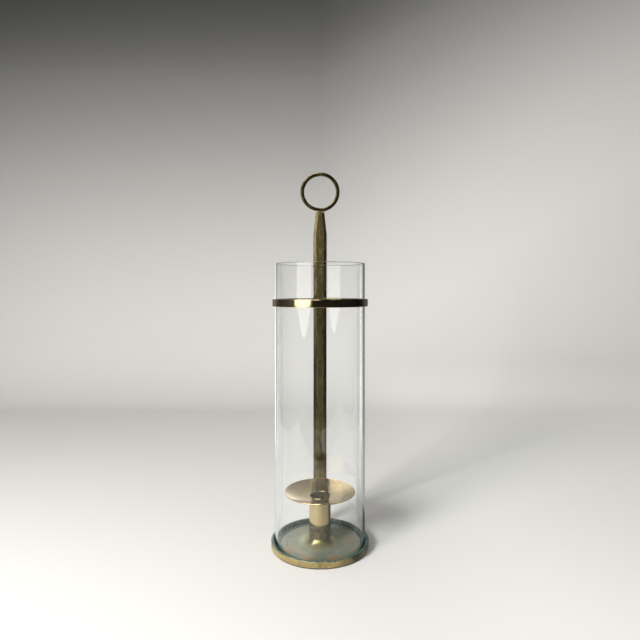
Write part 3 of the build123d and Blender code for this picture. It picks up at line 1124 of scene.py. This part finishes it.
def makeDish(material):
    sizes = dishSizes
    low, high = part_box("base_dish")
    outer = high.x
    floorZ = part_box("glass_cylinder")[0].z
    rimZ = floorZ + sizes["rimDepth"]
    rimInner = outer - sizes["rimWall"]
    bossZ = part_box("candle_tube")[0].z
    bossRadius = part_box("candle_tube")[1].x + sizes["bossLip"]
    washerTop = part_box("screw_washer")[1].z
    around = sizes["rimRound"]
    chamfer = sizes["footChamfer"]

    beadWidth = sizes["beadOuter"] - sizes["beadInner"]
    beadRadius = (beadWidth**2 / 4 + sizes["beadHeight"] ** 2) / (2 * sizes["beadHeight"])
    beadCentre = ((sizes["beadOuter"] + sizes["beadInner"]) / 2, floorZ + sizes["beadHeight"] - beadRadius)
    beadTurn = math.degrees(math.acos(beadWidth / 2 / beadRadius))
    lineWidth = sizes["lineOuter"] - sizes["lineInner"]
    lineRadius = (lineWidth**2 / 4 + sizes["lineDepth"] ** 2) / (2 * sizes["lineDepth"])
    lineCentre = ((sizes["lineOuter"] + sizes["lineInner"]) / 2, floorZ - sizes["lineDepth"] + lineRadius)
    lineTurn = math.degrees(math.acos(lineWidth / 2 / lineRadius))
    flareTurn = math.degrees(math.acos(1 - (bossZ - floorZ) / sizes["flareRadius"]))
    flareOuter = bossRadius + sizes["flareRadius"] * math.sin(math.radians(flareTurn))
    flareCentre = (flareOuter, floorZ + sizes["flareRadius"])

    profile = [
        (sizes["screwHole"], bossZ),
        (sizes["screwHole"], washerTop),
        (sizes["counterbore"], washerTop),
        (sizes["counterbore"], low.z),
        (outer - chamfer, low.z),
        (outer, low.z + chamfer),
    ]
    profile += arc((outer - around, rimZ - around), around, 0, 90, 6)
    profile += arc((rimInner + around, rimZ - around), around, 90, 180, 6)
    profile += [(rimInner, floorZ)]
    profile += arc(beadCentre, beadRadius, beadTurn, 180 - beadTurn, 10)
    profile += arc(lineCentre, lineRadius, -lineTurn, lineTurn - 180, 8)
    profile += arc(flareCentre, sizes["flareRadius"], 270, 270 - flareTurn, 18)
    dish = turnOnLathe("turned_dish", profile)

    # notch in the rim for the foot of the bar
    barLow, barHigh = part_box("back_bar")
    wide, deep = barHigh.x - barLow.x + 2 * sizes["notchGap"], sizes["notchDepth"]
    cutBlock(dish, (0, barLow.y + deep / 2, rimZ / 2), (wide, deep, 4 * rimZ))
    softenEdges(dish, sizes["softEdge"], 2, 40)
    finishPiece(dish, "lantern_frame", material, ["base_dish"])


# felt
feltSizes = {"round": 0.35 * mm, "hole": 4 * mm}


def makeFeltPad(material):
    low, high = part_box("felt_pad")
    soft = feltSizes["round"]
    hole = feltSizes["hole"]
    profile = [(hole, high.z), (hole, low.z), (high.x - soft, low.z)]
    profile += arc((high.x - soft, low.z + soft), soft, -90, 0, 3)
    profile += arc((high.x - soft, high.z - soft), soft, 0, 90, 3)
    pad = turnOnLathe("felt_base", profile)
    finishPiece(pad, "lantern_frame", material, ["felt_pad"])


# candle tube
tubeSizes = {"bore": 11.2 * mm, "plugBore": 11.4 * mm, "neck": 11.7 * mm, "edge": 0.15 * mm}


def makeTube(material):
    low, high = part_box("candle_tube")
    outer = high.x
    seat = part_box("drip_pan")[0].z
    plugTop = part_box("tube_plug")[1].z
    edge = tubeSizes["edge"]
    profile = [
        (tubeSizes["plugBore"], low.z),
        (outer - edge, low.z),
        (outer, low.z + edge),
        (outer, seat - edge),
        (outer - edge, seat),
        (tubeSizes["neck"], seat),
        (tubeSizes["neck"], high.z - edge),
        (tubeSizes["neck"] - edge, high.z),
        (tubeSizes["bore"] + edge, high.z),
        (tubeSizes["bore"], high.z - edge),
        (tubeSizes["bore"], plugTop),
        (tubeSizes["plugBore"], plugTop),
    ]
    tube = turnOnLathe("candle_socket", profile, 128)
    finishPiece(tube, "lantern_frame", material, ["candle_tube"])


# drip pan
panSizes = {"hole": 11.75 * mm, "sheet": 1.0 * mm, "depth": 5.4 * mm, "edge": 0.45 * mm}


def makePan(material):
    low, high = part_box("drip_pan")
    sizes = panSizes
    outer = high.x
    bowl = (outer**2 - sizes["hole"] ** 2) / (2 * sizes["depth"])
    centreZ = low.z + math.sqrt((bowl + sizes["sheet"]) ** 2 - sizes["hole"] ** 2)

    def bowlTurn(radius, sphere):
        return -math.degrees(math.acos(radius / sphere))

    under = bowl + sizes["sheet"]
    rim = outer - sizes["edge"]
    upper = arc((0, centreZ), bowl, bowlTurn(sizes["hole"], bowl), bowlTurn(rim, bowl), 24)
    lower = arc((0, centreZ), under, bowlTurn(rim, under), bowlTurn(sizes["hole"], under), 24)
    lip = arc((rim, (upper[-1][1] + lower[0][1]) / 2), sizes["edge"], 70, -110, 8)
    pan = turnOnLathe("drip_bowl", upper + lip + lower)
    finishPiece(pan, "lantern_frame", material, ["drip_pan"], 50)


# glass
glassSizes = {"wall": 2.0 * mm, "lip": 0.95 * mm}


def makeGlassCylinder(material):
    low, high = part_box("glass_cylinder")
    outer, inner = high.x, high.x - glassSizes["wall"]
    lip = glassSizes["lip"]
    profile = arc((outer - lip, low.z + lip), lip, -90, 0, 6)
    profile += arc((outer - lip, high.z - lip), lip, 0, 90, 6)
    profile += arc((inner + lip, high.z - lip), lip, 90, 180, 6)
    profile += arc((inner + lip, low.z + lip), lip, 180, 270, 6)
    cylinder = turnOnLathe("storm_cylinder", profile, 320)
    finishPiece(cylinder, "glass", material, ["glass_cylinder"], 60)


# collar
collarSizes = {
    "wall": 2.6 * mm,
    "round": 0.35 * mm,
    "crown": 0.03 * mm,
    "seatCut": (80 * mm, 10 * mm, 20 * mm),
}


def makeCollar(material):
    low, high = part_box("glass_collar")
    sizes = collarSizes
    outer, inner = high.x, high.x - sizes["wall"]
    soft, middle = sizes["round"], (low.z + high.z) / 2
    profile = arc((outer - sizes["crown"] - soft, low.z + soft), soft, -90, 0, 5)
    profile += [(outer, middle)]
    profile += arc((outer - sizes["crown"] - soft, high.z - soft), soft, 0, 90, 5)
    profile += arc((inner + soft / 2, high.z - soft / 2), soft / 2, 90, 180, 3)
    profile += arc((inner + soft / 2, low.z + soft / 2), soft / 2, 180, 270, 3)
    collar = turnOnLathe("glass_band", profile, 320)
    # flat seat for the bar
    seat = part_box("back_bar")[0].y
    wide, deep, tall = sizes["seatCut"]
    cutBlock(collar, (0, seat + deep / 2, middle), (wide, deep, tall))
    finishPiece(collar, "lantern_frame", material, ["glass_collar"], 40)


# upright bar
barSizes = {
    "bevelWidth": 3.4 * mm,
    "bevelDepth": 1.2 * mm,
    "neckHalf": 5.1 * mm,
    "taper": 28.0 * mm,
    "shoulderRound": 4.0 * mm,
    "cuts": 70,
    "saddle": 24.05 * mm,
    "saddleDepth": 20 * mm,
    "softEdge": 0.45 * mm,
    "filing": 0.16 * mm,
}


def cutSaddle(piece):
    # hollows a top to the round of the ring
    ringLow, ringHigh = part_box("handle_ring")
    clearSelection()
    bpy.ops.mesh.primitive_cylinder_add(
        vertices=256,
        radius=barSizes["saddle"],
        depth=barSizes["saddleDepth"],
        location=(0, (ringLow.y + ringHigh.y) / 2, (ringLow.z + ringHigh.z) / 2),
        rotation=(math.pi / 2, 0, 0),
    )
    cutAway(piece, nameNew("saddleCutter"))


def makeBar(material):
    sizes = barSizes
    low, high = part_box("back_bar")
    half, shoulder = high.x, high.z - sizes["taper"]
    clearSelection()
    bpy.ops.mesh.primitive_plane_add(size=1)
    bar = nameNew("upright_bar")
    startEditing()
    bpy.ops.transform.resize(value=(2 * half, high.y - low.y, 1))
    bpy.ops.transform.translate(value=(0, (low.y + high.y) / 2, low.z))
    slope = math.atan2(sizes["bevelDepth"], sizes["bevelWidth"])
    for side in (-1, 1):  # the front corners are cut back
        selectAll()
        bpy.ops.mesh.bisect(
            plane_co=(side * half, low.y + sizes["bevelDepth"], low.z),
            plane_no=(side * math.sin(slope), -math.cos(slope), 0),
            clear_outer=True,
            threshold=0.001 * mm,
        )
    selectAll()
    for step in (shoulder - low.z, high.z - shoulder):
        bpy.ops.mesh.extrude_region_move(TRANSFORM_OT_translate={"value": (0, 0, step)})
    outerCorner = half - mm
    selectVertices(bar, lambda point: point.z > high.z - mm and abs(point.x) > outerCorner)
    bpy.ops.transform.resize(value=(sizes["neckHalf"] / half, 1, 1), center_override=(0, 0, high.z))
    innerHalf = half - sizes["bevelWidth"]
    flatHalf = sizes["neckHalf"] - sizes["bevelWidth"]
    selectVertices(bar, lambda point: point.z > high.z - mm and point.y < low.y + 0.1 * mm)
    bpy.ops.transform.resize(value=(flatHalf / innerHalf, 1, 1), center_override=(0, 0, high.z))
    selectEdges(bar, lambda a, b: abs(a.z - shoulder) < 0.1 * mm and abs(b.z - shoulder) < 0.1 * mm)
    bpy.ops.mesh.bevel(offset=sizes["shoulderRound"], segments=4, affect="EDGES")
    selectEdges(bar, lambda a, b: abs(a.z - b.z) > 100 * mm)
    bpy.ops.mesh.subdivide(number_cuts=sizes["cuts"])
    selectEdges(bar, lambda a, b: abs(a.z - b.z) > 15 * mm)
    bpy.ops.mesh.subdivide(number_cuts=6)
    selectAll()
    bpy.ops.mesh.normals_make_consistent(inside=False)
    stopEditing()

    cutSaddle(bar)
    softenEdges(bar, sizes["softEdge"], 3, 15)
    applyModifier(bar, "SUBSURF", subdivision_type="SIMPLE", levels=1, render_levels=1)
    roughen(bar, 9 * mm, sizes["filing"])
    finishPiece(bar, "lantern_frame", material, ["back_bar"], 35)


# handle ring
ringSizes = {"band": 4.5 * mm, "round": 1.55 * mm, "unevenness": 0.18 * mm}


def makeRing(material):
    sizes = ringSizes
    low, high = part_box("handle_ring")
    centre = ((low.x + high.x) / 2, (low.y + high.y) / 2, (low.z + high.z) / 2)
    clearSelection()
    bpy.ops.mesh.primitive_plane_add(size=1)
    ring = nameNew("ring_handle")
    startEditing()
    bpy.ops.transform.resize(value=(sizes["band"], high.y - low.y, 1))
    bpy.ops.transform.translate(value=(high.x - sizes["band"] / 2, centre[1], centre[2]))
    bpy.ops.mesh.bevel(offset=sizes["round"], segments=6, affect="VERTICES")
    selectAll()
    bpy.ops.mesh.delete(type="ONLY_FACE")
    selectAll()
    bpy.ops.mesh.spin(steps=160, angle=2 * math.pi, center=centre, axis=(0, 1, 0))
    closeSeam()
    stopEditing()
    roughen(ring, 11 * mm, sizes["unevenness"])
    finishPiece(ring, "lantern_frame", material, ["handle_ring"], 60)


# braze
brazeSizes = {"fillet": 1.7 * mm, "bandHeight": 2.3 * mm, "bandRound": 0.6 * mm, "proud": 0.12 * mm}


def makePanBraze(material):
    # a concave run of braze in the corner between the tube and the pan
    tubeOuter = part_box("candle_tube")[1].x
    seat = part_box("drip_pan")[0].z
    fillet = brazeSizes["fillet"]
    corner = (tubeOuter + fillet, seat - fillet)
    profile = arc(corner, fillet, 180, 90, 6) + [(tubeOuter - 0.05 * mm, seat + 0.05 * mm)]
    run = turnOnLathe("pan_braze", profile, 128)
    roughen(run, 3 * mm, 0.12 * mm)
    finishPiece(run, "lantern_frame", material, smoothAngle=60)


def makeRingBraze(material):
    # a low band of braze round the top of the bar, under the ring
    low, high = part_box("back_bar")
    tall = brazeSizes["bandHeight"]
    middle = ((low.x + high.x) / 2, (low.y + high.y) / 2, high.z - tall / 2)
    clearSelection()
    bpy.ops.mesh.primitive_cube_add(size=1)
    band = nameNew("ring_braze")
    startEditing("EDGE")
    wide = 2 * barSizes["neckHalf"] + 2 * brazeSizes["proud"]
    bpy.ops.transform.resize(value=(wide, high.y - low.y + 2 * brazeSizes["proud"], tall))
    bpy.ops.transform.translate(value=middle)
    bpy.ops.mesh.bevel(offset=brazeSizes["bandRound"], segments=3, affect="EDGES")
    selectAll()
    bpy.ops.mesh.subdivide(number_cuts=3)
    stopEditing()
    cutSaddle(band)
    roughen(band, 2.5 * mm, 0.3 * mm)
    finishPiece(band, "lantern_frame", material, smoothAngle=60)


# everything together
dishBrass = makeDishBrass()
tubeBrass = makePolishedBrass("tubeBrass", tubeLook)
panBrass = makePolishedBrass("panBrass", panLook)
collarBrass = makePolishedBrass("collarBrass", collarLook)
screwBrass = makePolishedBrass("screwBrass", screwLook)
barBrass = makeBarBrass("barBrass", barLook)
ringBrass = makeBarBrass("ringBrass", ringLook)
brazeBrass = makeBarBrass("brazeBrass", brazeLook)
clearGlass = makeGlass()
feltPad = makeFelt()
print("materials made")

makeDish(dishBrass)
makeFeltPad(feltPad)
makeTube(tubeBrass)
makePan(panBrass)
makePanBraze(screwBrass)
makeGlassCylinder(clearGlass)
makeCollar(collarBrass)
makeBar(barBrass)
makeRing(ringBrass)
makeRingBraze(brazeBrass)
print("pieces made")

keptNodes = {
    "tube_plug": dishBrass,
    "tube_screw": screwBrass,
    "screw_washer": screwBrass,
    "foot_screws": screwBrass,
    "collar_rivets": collarBrass,
}
for name, material in keptNodes.items():
    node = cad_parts[name]
    node.data.materials.clear()
    node.data.materials.append(material)
